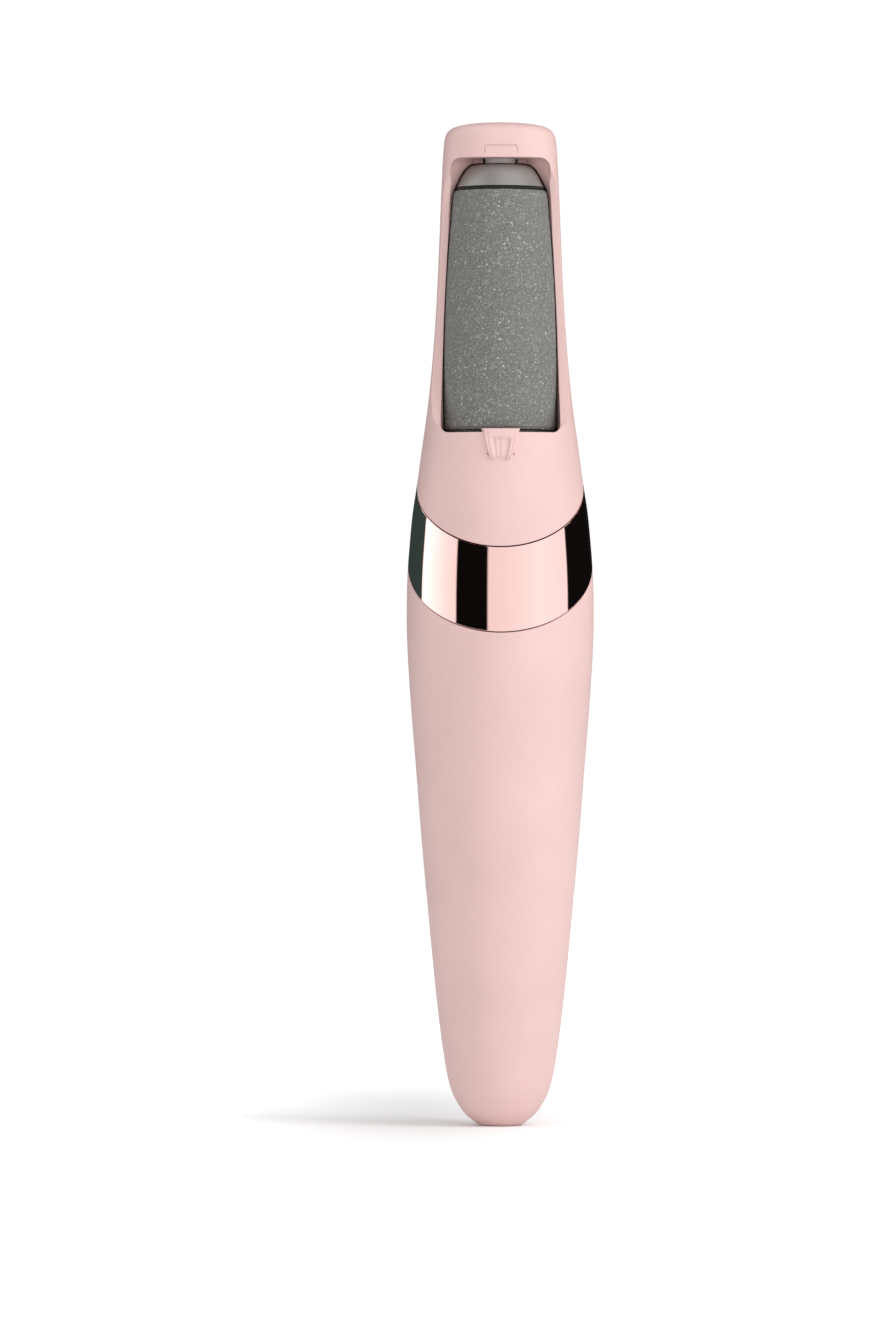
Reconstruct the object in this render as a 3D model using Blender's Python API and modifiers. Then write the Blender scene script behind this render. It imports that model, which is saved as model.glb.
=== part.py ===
"""Electric callus remover: an upright handle, a trim band and a head with an arched window that holds a turning abrasive roller. Units are millimetres in the constants and metres in the scene. +Z is up, the window faces -Y, and the device stands on its foot."""
import math

import bmesh
import bpy
import numpy as np
from mathutils import Matrix, Vector

MM = 0.001
SEG = 48  # facets round the outer body
RND = 32  # facets round turned pieces
GAP = 0.3  # clearance between neighbouring pieces

# Outer body: z, half width, front depth, back depth, section exponent
BODY = [
    (0.0, 3.60, 3.55, 3.55, 2.0),
    (0.1, 3.95, 3.89, 3.89, 2.0),
    (0.25, 4.25, 4.19, 4.19, 2.0),
    (0.5, 4.62, 4.56, 4.56, 2.0),
    (0.85, 5.06, 4.99, 4.99, 2.0),
    (1.23, 5.55, 5.47, 5.47, 2.0),
    (1.98, 6.42, 6.33, 6.33, 2.0),
    (2.74, 7.10, 7.00, 7.00, 2.0),
    (3.5, 7.63, 7.52, 7.52, 2.0),
    (4.8, 8.38, 8.26, 8.26, 2.0),
    (6.1, 9.03, 8.90, 8.90, 2.0),
    (8.4, 9.75, 9.61, 9.61, 2.0),
    (12.4, 10.55, 10.40, 10.40, 2.0),
    (17.3, 11.25, 11.09, 11.09, 2.0),
    (24.0, 12.05, 11.88, 11.88, 2.0),
    (33.0, 12.95, 12.77, 12.77, 2.0),
    (44.4, 14.00, 13.80, 13.80, 2.0),
    (55.8, 15.00, 14.79, 14.79, 2.0),
    (67.0, 15.85, 15.63, 15.63, 2.0),
    (76.0, 16.60, 16.37, 16.37, 2.0),
    (83.0, 17.10, 16.86, 16.86, 2.0),
    (89.7, 17.50, 17.25, 17.25, 2.0),
    (95.0, 17.65, 17.40, 17.40, 2.0),
    (100.0, 17.62, 17.38, 17.30, 2.0),
    (105.6, 17.40, 17.12, 16.95, 2.0),
    (110.0, 17.05, 16.80, 16.45, 2.0),
    (115.0, 16.60, 16.30, 15.75, 2.0),
    (121.4, 15.60, 15.60, 14.60, 2.05),
    (126.0, 15.00, 15.00, 13.75, 2.1),
    (131.0, 14.28, 14.35, 12.95, 2.15),
    (136.0, 13.60, 13.70, 12.25, 2.3),
    (141.8, 13.00, 13.10, 11.60, 2.5),
    (148.6, 12.43, 12.40, 11.00, 2.5),
    (157.6, 11.88, 11.55, 10.40, 2.5),
    (167.0, 11.47, 10.65, 10.05, 2.5),
    (178.0, 11.03, 9.70, 9.70, 2.5),
    (183.0, 10.77, 9.32, 9.32, 2.45),
    (185.6, 10.54, 9.12, 9.12, 2.4),
    (186.4, 10.36, 8.98, 8.98, 2.4),
    (187.0, 10.12, 8.78, 8.78, 2.4),
    (187.55, 9.70, 8.45, 8.45, 2.4),
    (188.0, 9.05, 7.92, 7.92, 2.4),
    (188.33, 8.20, 7.25, 7.25, 2.35),
    (188.62, 6.90, 6.15, 6.15, 2.3),
    (188.85, 5.40, 4.85, 4.85, 2.2),
    (189.02, 3.20, 2.90, 2.90, 2.1),
]
CROWN_Z = 189.1
FOOT_BORE = 2.75

# Oblique joints above and below the trim band: z = base + slope * y
BAND_SLOPE = 0.742
BAND_LOW = 105.84
BAND_HIGH = 121.43
BAND_GAP = 0.3

# Roller and its drive share one upright axis
AXIS_Y = -2.0
PIVOT_Z = 183.0
SWING_DEG = 11.0
LATCH_TRAVEL = 3.5
LATCH_SLOPE = 0.135

SLEEVE = [
    (8.55, 176.05),
    (8.85, 175.55),
    (9.00, 174.4),
    (9.20, 171.6),
    (9.76, 164.6),
    (10.30, 155.2),
    (10.58, 145.8),
    (10.60, 138.4),
    (10.50, 132.2),
    (10.42, 131.5),
    (10.20, 131.05),
]
SLEEVE_BORE = 7.7
DOME = [
    (4.75, 180.95),
    (5.6, 180.7),
    (6.3, 180.15),
    (6.95, 179.25),
    (7.45, 178.35),
    (7.85, 177.5),
    (8.2, 176.8),
]
FLANGE_R = 10.35
FLANGE_Z = (130.3, 130.9)
DOG = (1.1, 2.0, 126.6)
POCKET_Z = 128.8
LIP_Z = 130.4
ARCH_Z = 182.1

# Planetary gears
MODULE = 0.45
SUN_T, PLANET_T, RING_T = 12, 12, 36
PRESSURE = math.radians(25.0)
ADDENDUM, DEDENDUM = 0.7 * MODULE, MODULE
BACKLASH = 0.12
CENTRES = MODULE * (SUN_T + PLANET_T) / 2
PLANET_ANGLES = (90.0, 210.0, 330.0)

SCREW_R = 9.7  # gear case screws, from the roller axis
BUTTON_Z = 70.0
LIGHT_Z = 60.0

for old in list(bpy.data.objects):
    bpy.data.objects.remove(old, do_unlink=True)
scene = bpy.context.scene
PARTS = bpy.data.collections.new("electric_callus_remover")
CUTTERS = bpy.data.collections.new("cutters")
scene.collection.children.link(PARTS)
scene.collection.children.link(CUTTERS)

TABLE = np.array(BODY)


def body_at(z):
    """Half width, front depth, back depth and exponent of the outer body."""
    return [float(np.interp(z, TABLE[:, 0], TABLE[:, k])) for k in range(1, 5)]


def body_ring(z, inset=0.0, count=SEG):
    w, f, b, n = body_at(z)
    w, f, b = w - inset, f - inset, b - inset
    ring = []
    for i in range(count):
        t = 2 * math.pi * i / count
        c, s = math.cos(t), math.sin(t)
        x = w * math.copysign(abs(c) ** (2 / n), c)
        y = (b if s > 0 else f) * math.copysign(abs(s) ** (2 / n), s)
        ring.append((x, y, z))
    return ring


def front_y(x, z):
    """The y of the body's front surface."""
    w, f, _, n = body_at(z)
    return -f * (1 - (abs(x) / w) ** n) ** (1 / n)


def material(name, rgb, rough, metal=0.0, clear=0.0):
    m = bpy.data.materials.new(name)
    m.use_nodes = True
    p = m.node_tree.nodes["Principled BSDF"]
    p.inputs["Base Color"].default_value = (*rgb, 1.0)
    p.inputs["Roughness"].default_value = rough
    p.inputs["Metallic"].default_value = metal
    p.inputs["Transmission Weight"].default_value = clear
    m.diffuse_color = (*rgb, 1.0)
    return m


def add(name, mesh, at, look):
    ob = bpy.data.objects.new(name, mesh)
    ob.location = Vector(at) * MM
    if look is None:
        CUTTERS.objects.link(ob)
        ob.hide_render = True
        ob.display_type = "WIRE"
    else:
        PARTS.objects.link(ob)
        mesh.materials.append(material(name, *look))
    return ob


def finish_mesh(bm, name, at, smooth=True):
    bmesh.ops.translate(bm, verts=bm.verts, vec=-Vector(at))
    bmesh.ops.scale(bm, verts=bm.verts, vec=(MM, MM, MM))
    bmesh.ops.recalc_face_normals(bm, faces=bm.faces)
    mesh = bpy.data.meshes.new(name)
    bm.to_mesh(mesh)
    bm.free()
    for p in mesh.polygons:
        p.use_smooth = smooth
    return mesh


def turned(name, profile, look=None, at=(0, AXIS_Y, 0), steps=RND, ring=False, angle=360.0, start=0.0):
    """A turned piece round the upright line through at. The profile runs down its outer side; a ring's goes back up the bore."""
    a = math.radians(start)
    verts = [
        (r * math.cos(a) * MM, r * math.sin(a) * MM, (z - at[2]) * MM)
        for r, z in profile
    ]
    edges = [(i, i + 1) for i in range(len(verts) - 1)]
    if ring:
        edges.append((len(verts) - 1, 0))
    mesh = bpy.data.meshes.new(name)
    mesh.from_pydata(verts, edges, [])
    ob = add(name, mesh, at, look)
    s = ob.modifiers.new("turn", "SCREW")
    s.axis = "Z"
    s.angle = math.radians(angle)
    s.steps = s.render_steps = steps
    s.use_merge_vertices = True
    s.merge_threshold = 1e-6
    s.use_smooth_shade = True
    return ob


def tube_profile(r_out, r_in, z0, z1):
    return [(r_in, z1), (r_out, z1), (r_out, z0), (r_in, z0)]


def disc_profile(r, z0, z1):
    return [(0, z1), (r, z1), (r, z0), (0, z0)]


def loft(name, rings, look=None, at=(0, 0, 0), tip=None):
    """Skin over unlike sections, each ring counter-clockwise from above."""
    n = len(rings[0])
    bm = bmesh.new()
    rows = [[bm.verts.new(p) for p in ring] for ring in rings]
    for a, b in zip(rows, rows[1:]):
        for i in range(n):
            j = (i + 1) % n
            bm.faces.new((a[i], a[j], b[j], b[i]))
    bm.faces.new(list(reversed(rows[0])))
    if tip is None:
        bm.faces.new(rows[-1])
    else:
        top = bm.verts.new(tip)
        for i in range(n):
            bm.faces.new((rows[-1][i], rows[-1][(i + 1) % n], top))
    return add(name, finish_mesh(bm, name, at), at, look)


PLANES = {
    "XZ": lambda u, v, w: (u, w, v),
    "YZ": lambda u, v, w: (w, u, v),
    "XY": lambda u, v, w: (u, v, w),
}


def prism(name, outline, plane, lo, hi, look=None, at=(0, 0, 0)):
    """A flat outline drawn out from lo to hi across its plane."""
    put = PLANES[plane]
    bm = bmesh.new()
    face = bm.faces.new([bm.verts.new(put(u, v, lo)) for u, v in outline])
    grown = bmesh.ops.extrude_face_region(bm, geom=[face])
    moved = [g for g in grown["geom"] if isinstance(g, bmesh.types.BMVert)]
    bmesh.ops.translate(bm, verts=moved, vec=put(0, 0, hi - lo))
    return add(name, finish_mesh(bm, name, at, smooth=False), at, look)


def box(name, x, y, z, look=None, at=(0, 0, 0)):
    bm = bmesh.new()
    bmesh.ops.create_cube(bm, size=1.0)
    bmesh.ops.scale(bm, verts=bm.verts, vec=(x[1] - x[0], y[1] - y[0], z[1] - z[0]))
    mid = ((x[0] + x[1]) / 2, (y[0] + y[1]) / 2, (z[0] + z[1]) / 2)
    bmesh.ops.translate(bm, verts=bm.verts, vec=mid)
    return add(name, finish_mesh(bm, name, at, smooth=False), at, look)


def rod(name, r, start, end, look=None, at=(0, 0, 0), count=24, r2=None):
    """A straight cylinder, or a cone frustum, between two points."""
    a, b = Vector(start), Vector(end)
    turn = (b - a).to_track_quat("Z", "Y").to_matrix().to_4x4()
    bm = bmesh.new()
    bmesh.ops.create_cone(
        bm, cap_ends=True, segments=count, radius1=r, radius2=r if r2 is None else r2,
        depth=(b - a).length, matrix=Matrix.Translation((a + b) / 2) @ turn,
    )
    return add(name, finish_mesh(bm, name, at), at, look)


def combine(ob, other, how="DIFFERENCE"):
    m = ob.modifiers.new(other.name, "BOOLEAN")
    m.operation = how
    m.object = other
    m.solver = "EXACT"
    return ob


def cut(ob, *cutters):
    for c in cutters:
        combine(ob, c)
    return ob


def join(ob, *others):
    for o in others:
        combine(ob, o, "UNION")
    return ob


def wire(name, points, r, look, at=(0, 0, 0)):
    """A round wire along a computed path, turned into a closed mesh."""
    curve = bpy.data.curves.new(name, "CURVE")
    curve.dimensions = "3D"
    curve.bevel_depth = r * MM
    curve.bevel_resolution = 2
    curve.use_fill_caps = True
    spline = curve.splines.new("POLY")
    spline.points.add(len(points) - 1)
    for p, q in zip(spline.points, points):
        p.co = (*(Vector(q) - Vector(at)) * MM, 1.0)
    path = bpy.data.objects.new(name + "_path", curve)
    scene.collection.objects.link(path)
    bpy.context.view_layer.update()
    mesh = bpy.data.meshes.new_from_object(path)
    mesh.name = name
    bpy.data.objects.remove(path, do_unlink=True)
    bm = bmesh.new()
    bm.from_mesh(mesh)
    bmesh.ops.remove_doubles(bm, verts=bm.verts, dist=1e-7)
    bmesh.ops.recalc_face_normals(bm, faces=bm.faces)
    bm.to_mesh(mesh)
    bm.free()
    for p in mesh.polygons:
        p.use_smooth = True
    mesh.materials.clear()
    return add(name, mesh, at, look)


def band_box(name, base, above, shift):
    """A slab whose flat face lies on the oblique plane z = base + slope * y, moved along its normal by shift."""
    tilt = math.atan(BAND_SLOPE)
    normal = Vector((0, -math.sin(tilt), math.cos(tilt)))
    bm = bmesh.new()
    bmesh.ops.create_cube(bm, size=1.0)
    bmesh.ops.scale(bm, verts=bm.verts, vec=(80, 120, 110))
    bmesh.ops.translate(bm, verts=bm.verts, vec=(0, 0, 55 if above else -55))
    bmesh.ops.rotate(bm, verts=bm.verts, matrix=Matrix.Rotation(tilt, 3, "X"))
    bmesh.ops.translate(bm, verts=bm.verts, vec=Vector((0, 0, base)) + normal * shift)
    return add(name, finish_mesh(bm, name, (0, 0, 0), smooth=False), (0, 0, 0), None)


def corner(cx, cz, r, a0, a1, n=5):
    return [
        (cx + r * math.cos(math.radians(a0 + (a1 - a0) * k / n)),
         cz + r * math.sin(math.radians(a0 + (a1 - a0) * k / n)))
        for k in range(n + 1)
    ]


def involute(a):
    return math.tan(a) - a


def gear_outline(teeth, radii, internal=False, phase=0.0):
    """Involute outline. Internal teeth point inward, centred on the phase."""
    rp = MODULE * teeth / 2
    rb = rp * math.cos(PRESSURE)
    half = math.pi / (2 * teeth) - BACKLASH / 2 / rp

    def width(r):
        a = math.acos(min(1.0, rb / max(r, rb)))
        step = involute(PRESSURE) - involute(a)
        return half - step if internal else half + step

    points = []
    for k in range(teeth):
        mid = phase + 2 * math.pi * k / teeth
        for r in radii:
            points.append((r * math.cos(mid - width(r)), r * math.sin(mid - width(r))))
        for r in reversed(radii):
            points.append((r * math.cos(mid + width(r)), r * math.sin(mid + width(r))))
    return points


def outer_radii(teeth):
    rp = MODULE * teeth / 2
    rb = rp * math.cos(PRESSURE)
    tip = rp + ADDENDUM
    return [rp - DEDENDUM, rb + 0.05, tip]


def screw(name, x, y, head_top, head_r, head_h, shank_r, tip, look, up=True):
    """A machine screw with a hex socket. up: its head faces +Z."""
    s = 1 if up else -1
    sides = [(0, head_top), (head_r, head_top), (head_r, head_top - s * head_h),
             (shank_r, head_top - s * head_h), (shank_r, tip), (0, tip)]
    ob = turned(name, sides if up else sides[::-1], look, at=(x, y, 0), steps=20)
    cut(ob, rod("cut_" + name, head_r * 0.5, (x, y, head_top - s * head_h * 0.6), (x, y, head_top + s), count=6))
    return ob


PINK = ((0.70, 0.47, 0.44), 0.35)
GOLD = ((0.95, 0.62, 0.56), 0.08, 1.0)
BLACK = ((0.012, 0.012, 0.013), 0.45)
STEEL = ((0.55, 0.55, 0.56), 0.3, 1.0)
NYLON = ((0.75, 0.74, 0.70), 0.5)
RUBBER = ((0.03, 0.03, 0.03), 0.8)

# ---------------------------------------------------------------- handle
stations = [row[0] for row in BODY]
socket_hollow = turned("cut_handle_socket", disc_profile(13.4, 84.0, 135.0))
hollow = [(0, 84.2)]
for z in (84.2, 76.0, 67.0, 55.8, 44.4, 33.0, 24.0, 17.3, 12.4, 8.4, 6.1):
    hollow.append((body_at(z)[1] - 1.9, z))
hollow += [(5.2, 4.4), (4.7, 3.4), (0, 3.4)]
handle_shell = loft("handle_shell", [body_ring(z) for z in stations if z <= 126.0], PINK)
cut(
    handle_shell,
    band_box("cut_handle_top", BAND_LOW, True, -BAND_GAP / 2),
    turned("cut_handle_hollow", hollow, at=(0, 0, 0)),
    socket_hollow,
    turned("cut_foot_bore", disc_profile(FOOT_BORE, -1.0, 4.0), at=(0, 0, 0), steps=32),
    rod("cut_button_hole", 4.8, (0, 8.0, BUTTON_Z), (0, 20.0, BUTTON_Z), count=32),
    rod("cut_light_hole", 1.3, (0, 8.0, LIGHT_Z), (0, 20.0, LIGHT_Z), count=16),
)

# ---------------------------------------------------------------- trim band
trim_band = loft("trim_band", [body_ring(z) for z in stations if 83.0 <= z <= 141.8], GOLD)
cut(
    trim_band,
    band_box("cut_band_bottom", BAND_LOW, False, BAND_GAP / 2),
    band_box("cut_band_top", BAND_HIGH, True, -BAND_GAP / 2),
    turned("cut_band_bore", disc_profile(13.4, 80.0, 150.0)),
)

# ---------------------------------------------------------------- head housing
spigot = turned("spigot_core", disc_profile(13.1, 86.0, 134.0))
combine(spigot, loft("spigot_limit", [body_ring(z, 1.6) for z in stations if 76.0 <= z <= 141.8]), "INTERSECT")
head_housing = loft(
    "head_housing", [body_ring(z) for z in stations if z >= 95.0], PINK, tip=(0, 0, CROWN_Z)
)
lower_bore = [
    (0, 131.0), (5.4, 131.0), (5.4, 122.6), (2.1, 122.6), (2.1, 121.3), (4.4, 121.3),
    (4.4, 119.4), (7.5, 119.4), (7.5, 116.7), (11.8, 116.7), (11.8, 80.0), (0, 80.0),
]
cavity = [
    (0, 185.3), (3.25, 185.3), (3.25, 182.9), (4.6, 182.8), (6.1, 182.3), (7.2, 181.4), (8.0, 180.1),
    (8.6, 178.4), (9.2, 175.8), (9.6, 172.0), (10.3, 164.5), (10.85, 155.0), (11.1, 146.0), (11.1, 137.0),
    (11.0, POCKET_Z), (0, POCKET_Z),
]
side = [
    (-30.0, LIP_Z), (-13.2, LIP_Z), (-11.4, 130.65), (-9.6, 131.3), (-7.8, 132.6), (-6.4, 135.0),
    (-5.4, 138.2), (-4.8, 142.0), (-4.5, 147.0), (-4.5, 168.0), (-4.7, 173.0),
    (-5.3, 177.1), (-6.3, 179.65), (-7.6, 181.3), (-9.0, ARCH_Z), (-30.0, ARCH_Z),
]
wide = [(11.35, 134.0), (11.1, 141.0), (10.9, 148.5), (10.6, 156.3), (10.3, 163.8), (10.05, 169.6), (9.9, 175.2), (9.55, 179.0)]
right = corner(10.15, LIP_Z + 1.3, 1.3, -90, 0) + wide + corner(7.5, ARCH_Z - 2.0, 2.0, 0, 90)
window = right + [(-x, z) for x, z in reversed(right)]
bore_z = [z for _, z in reversed(cavity)]
bore_r = [r for r, _ in reversed(cavity)]


def flare(x, z):
    """The window narrows to the cavity's own width behind its rim."""
    limit = float(np.interp(z, bore_z[1:-2], bore_r[1:-2])) + 0.05
    return math.copysign(min(abs(x), limit), x)


window_rings = [
    [(x, -25.0, z) for x, z in window],
    [(x, -4.7, z) for x, z in window],
    [(flare(x, z), -1.7, z) for x, z in window],
]
cut(head_housing, band_box("cut_head_bottom", BAND_HIGH, False, BAND_GAP / 2))
join(head_housing, spigot)
cut(
    head_housing,
    turned("cut_head_bore", lower_bore),
    turned("cut_roller_cavity", cavity, steps=48),
    prism("cut_side_sweep", side, "YZ", -30, 30),
    loft("cut_window", window_rings),
    box("cut_dog_channel", (-2.5, 2.5), (-20, -3.0), (126.1, 132.0)),
    box("cut_latch_slot", (-1.65, 1.65), (-20, -12.0), (125.0, 126.6)),
    box("cut_latch_pocket", (-1.8, 1.8), (-13.95, -11.6), (117.6, 129.0)),
    turned("cut_seal_groove", tube_profile(15.0, 12.5, 87.9, 89.1), ring=True),
)
for i, x in enumerate((-SCREW_R, SCREW_R)):
    c = turned(
        f"cut_case_screw_hole_{i + 1}",
        [(0, 129.0), (1.7, 129.0), (1.7, 127.3), (0.95, 127.3), (0.95, 116.0), (0, 116.0)],
        at=(x, AXIS_Y, 0), steps=20,
    )
    cut(head_housing, c)

turned("housing_seal", [(12.62, 88.7), (12.85, 88.95), (13.11, 88.95), (13.34, 88.7), (13.34, 88.3), (13.11, 88.05), (12.85, 88.05), (12.62, 88.3)], RUBBER, ring=True)

# ---------------------------------------------------------------- release latch
LATCH_TOP, LATCH_LOW = 131.0, 124.7
rows, cols = 8, 10
grid_out, grid_in = [], []
for j in range(rows + 1):
    v = j / rows
    z = LATCH_LOW + (LATCH_TOP - LATCH_LOW) * v
    half = float(np.interp(v, (0, 0.05, 0.13, 0.45, 0.83, 0.93, 1), (1.55, 1.78, 2.05, 2.9, 3.4, 3.5, 3.62)))
    out_row, in_row = [], []
    for i in range(cols + 1):
        u = 2 * i / cols - 1
        x = half * u
        base = front_y(x, z) - 0.15
        rim = max(abs(u), abs(2 * v - 1)) ** 6
        out_row.append((x, base - 0.45 - 0.35 * rim, z))
        in_row.append((x, base, z))
    grid_out.append(out_row)
    grid_in.append(in_row)
rings = [grid_out[j] + grid_in[j][::-1] for j in range(rows + 1)]
release_latch = loft("release_latch", rings, PINK, at=(0, -14.5, 127.5))
join(
    release_latch,
    box("latch_neck", (-1.5, 1.5), (-14.75, -12.6), (128.7, 129.7)),
    box("latch_block", (-1.5, 1.5), (-13.2, -11.9), (124.6, 129.7)),
)
spring_path = []
turns, per, z0, z1 = 5.0, 8, 118.02, 124.18
for k in range(int(turns * per) + 1):
    t = 2 * math.pi * k / per
    spring_path.append((0.85 * math.cos(t), -12.7 + 0.85 * math.sin(t), z0 + (z1 - z0) * k / (turns * per)))
wire("latch_spring", spring_path, 0.2, STEEL, at=(0, -12.7, 118.0))

# ---------------------------------------------------------------- roller
SWING = (0, AXIS_Y, PIVOT_Z)
turned("abrasive_sleeve", [(SLEEVE_BORE, 176.05)] + SLEEVE + [(SLEEVE_BORE, 131.05)], ((0.2, 0.21, 0.2), 0.8), at=SWING, ring=True)
turned("roller_core", tube_profile(7.5, 5.8, 131.1, 175.95), BLACK, at=SWING, ring=True)
drive_flange = turned(
    "drive_flange",
    [(0, FLANGE_Z[1]), (FLANGE_R, FLANGE_Z[1]), (FLANGE_R, 130.6), (FLANGE_R - 0.3, FLANGE_Z[0]), (4.0, 129.95), (0, 129.95)],
    BLACK, at=SWING,
)
join(drive_flange, box("drive_dog", (-DOG[0], DOG[0]), (AXIS_Y - DOG[1], AXIS_Y + DOG[1]), (DOG[2], 130.4), at=(0, 0, 0)))
turned("dome_seal_ring", tube_profile(8.35, 5.2, 176.15, 176.65), RUBBER, at=SWING, ring=True)
turned("dome_cap", [(0, 183.3), (1.2, 183.3), (1.2, 180.95)] + DOME + [(0, 176.8)], ((0.30, 0.28, 0.27), 0.4, 0.6), at=SWING)
turned(
    "roller_bush",
    [(0, 184.5), (2.1, 184.5), (2.6, 184.2), (2.85, 183.6), (2.85, 181.2), (1.5, 181.2), (1.5, 183.6), (0, 183.6)],
    ((0.6, 0.58, 0.56), 0.3, 0.0, 0.4), at=SWING, steps=32,
)

# ---------------------------------------------------------------- output drive
drive_coupling = turned(
    "drive_coupling",
    [(0, 128.2), (4.2, 128.2), (4.6, 127.8), (4.6, 122.9), (1.8, 122.9), (1.8, 126.0), (0, 126.0)],
    BLACK,
)
cut(drive_coupling, box("cut_coupling_slot", (-1.4, 1.4), (-8.0, 4.0), (126.3, 129.0)))
turned("output_shaft", disc_profile(1.6, 112.7, 125.8), STEEL, steps=24)
turned("shaft_seal", tube_profile(4.2, 1.8, 119.7, 121.1), RUBBER, ring=True, steps=24)
turned("output_bushing", tube_profile(3.4, 1.8, 115.3, 118.9), ((0.6, 0.42, 0.18), 0.35, 1.0), ring=True, steps=24)
planet_carrier = turned(
    "planet_carrier", [(1.8, 114.6), (7.4, 114.6), (7.4, 112.4), (1.8, 112.4)], STEEL, ring=True, steps=36
)
for i, a in enumerate(PLANET_ANGLES):
    ang = math.radians(a)
    px, py = CENTRES * math.cos(ang), AXIS_Y + CENTRES * math.sin(ang)
    cut(planet_carrier, rod(f"cut_pin_hole_{i + 1}", 1.0, (px, py, 112.0), (px, py, 115.0), count=16))
    turned(f"planet_pin_{i + 1}", disc_profile(0.75, 105.9, 114.4), STEEL, at=(px, py, 0), steps=16)
    gap = math.pi / PLANET_T
    teeth = [(px + x, py + y) for x, y in gear_outline(PLANET_T, outer_radii(PLANET_T), phase=gap)]
    planet = prism(f"planet_gear_{i + 1}", teeth, "XY", 106.2, 112.0, NYLON, at=(px, py, 0))
    cut(planet, rod(f"cut_planet_bore_{i + 1}", 1.0, (px, py, 105.0), (px, py, 113.0), count=16))
sun_gear = prism(
    "sun_gear", [(x, AXIS_Y + y) for x, y in gear_outline(SUN_T, outer_radii(SUN_T))], "XY", 106.0, 112.0,
    ((0.6, 0.42, 0.18), 0.35, 1.0), at=(0, AXIS_Y, 0),
)
cut(sun_gear, rod("cut_sun_bore", 1.25, (0, AXIS_Y, 105.0), (0, AXIS_Y, 113.0), count=16))

ring_rp = MODULE * RING_T / 2
ring_radii = [ring_rp + DEDENDUM, ring_rp + 0.1, ring_rp - ADDENDUM]
gear_case = turned(
    "gear_case",
    [(0, 119.1), (7.2, 119.1), (7.2, 116.4), (11.5, 116.4), (11.5, 105.4), (0, 105.4)], BLACK,
)
cut(
    gear_case,
    prism("cut_ring_gear", [(x, AXIS_Y + y) for x, y in gear_outline(RING_T, ring_radii, internal=True)], "XY", 104.0, 115.0),
    turned("cut_case_bore", [(0, 120.0), (3.6, 120.0), (3.6, 115.2), (2.2, 115.2), (2.2, 114.0), (0, 114.0)], steps=24),
)
for i, x in enumerate((-SCREW_R, SCREW_R)):
    cut(gear_case, rod(f"cut_case_thread_{i + 1}", 0.85, (x, AXIS_Y, 112.0), (x, AXIS_Y, 117.0), count=16))
    screw(f"gear_case_screw_{i + 1}", x, AXIS_Y, 128.3, 1.4, 0.9, 0.7, 112.4, STEEL)
gear_cover = turned("gear_case_cover", tube_profile(11.5, 2.6, 104.0, 105.2), STEEL, ring=True, steps=36)

# ---------------------------------------------------------------- motor
motor_can = turned(
    "motor_can",
    [(1.6, 103.7), (9.6, 103.7), (10.0, 103.3), (10.0, 77.8), (9.3, 77.8), (9.3, 102.7), (1.6, 102.7)], STEEL, ring=True,
)
turned("motor_end_cap", [(1.4, 79.0), (9.0, 79.0), (9.0, 77.5), (9.9, 77.5), (9.9, 76.0), (1.4, 76.0)], BLACK, ring=True)
turned("motor_shaft", disc_profile(1.0, 75.5, 111.6), STEEL, steps=20)
rotor = turned("motor_rotor", [(1.2, 101.0), (6.6, 101.0), (6.6, 83.0), (3.0, 83.0), (3.0, 80.0), (1.2, 80.0)], ((0.42, 0.2, 0.1), 0.4, 1.0), ring=True, steps=36)
for k in range(3):
    ang = math.radians(60 + 120 * k)
    x, y = 6.9 * math.cos(ang), AXIS_Y + 6.9 * math.sin(ang)
    cut(rotor, rod(f"cut_rotor_slot_{k + 1}", 1.3, (x, y, 82.0), (x, y, 102.0), count=12))
for k, side_deg in enumerate((-75.0, 105.0)):
    r0, r1, za, zb = 7.2, 9.0, 83.5, 100.5
    arc = [math.radians(side_deg + 150.0 * i / 14) for i in range(15)]
    outline = [(r1 * math.cos(a), AXIS_Y + r1 * math.sin(a)) for a in arc]
    outline += [(r0 * math.cos(a), AXIS_Y + r0 * math.sin(a)) for a in reversed(arc)]
    prism(f"motor_magnet_{k + 1}", outline, "XY", za, zb, ((0.05, 0.05, 0.055), 0.6), at=(0, AXIS_Y, 0))
for i, y in enumerate((AXIS_Y - 4.8, AXIS_Y + 4.8)):
    hole = turned(f"cut_motor_screw_hole_{i + 1}", [(0, 106.0), (1.5, 106.0), (1.5, 104.5), (0.95, 104.5), (0.95, 101.0), (0, 101.0)], at=(0, y, 0), steps=20)
    cut(gear_cover, hole)
    cut(motor_can, hole)
    screw(f"motor_screw_{i + 1}", 0, y, 105.3, 1.25, 0.55, 0.7, 102.2, STEEL)

# ---------------------------------------------------------------- battery and electronics
chassis = box("chassis", (-6.0, 6.0), (-7.2, 5.7), (19.6, 75.0), NYLON)
cut(
    chassis,
    box("cut_chassis_cell", (-8.0, 8.0), (-9.0, 4.9), (21.4, 73.4)),
    box("cut_chassis_lower_end", (-8.0, 8.0), (-9.0, 0.0), (18.0, 22.0)),
)
turned("battery_cell", [(0, 72.0), (2.6, 72.0), (2.6, 71.3), (6.7, 71.3), (7.0, 71.0), (7.0, 23.6), (6.7, 23.3), (0, 23.3)], ((0.05, 0.12, 0.3), 0.4), at=(0, -2.4, 0))
box("battery_contact_positive", (-2.5, 2.5), (-4.5, 4.4), (72.3, 72.8), STEEL)
box("battery_contact_negative", (-2.5, 2.5), (-4.5, 4.4), (22.3, 22.9), STEEL)
circuit_board = box("circuit_board", (-5.6, 5.6), (6.2, 7.2), (22.0, 74.0), ((0.02, 0.12, 0.06), 0.5))
box("charger_chip", (-2.0, 2.0), (7.5, 8.4), (34.0, 38.0), BLACK)
tactile_switch = box("tactile_switch", (-3.0, 3.0), (7.5, 9.2), (67.0, 73.0), BLACK)
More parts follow.
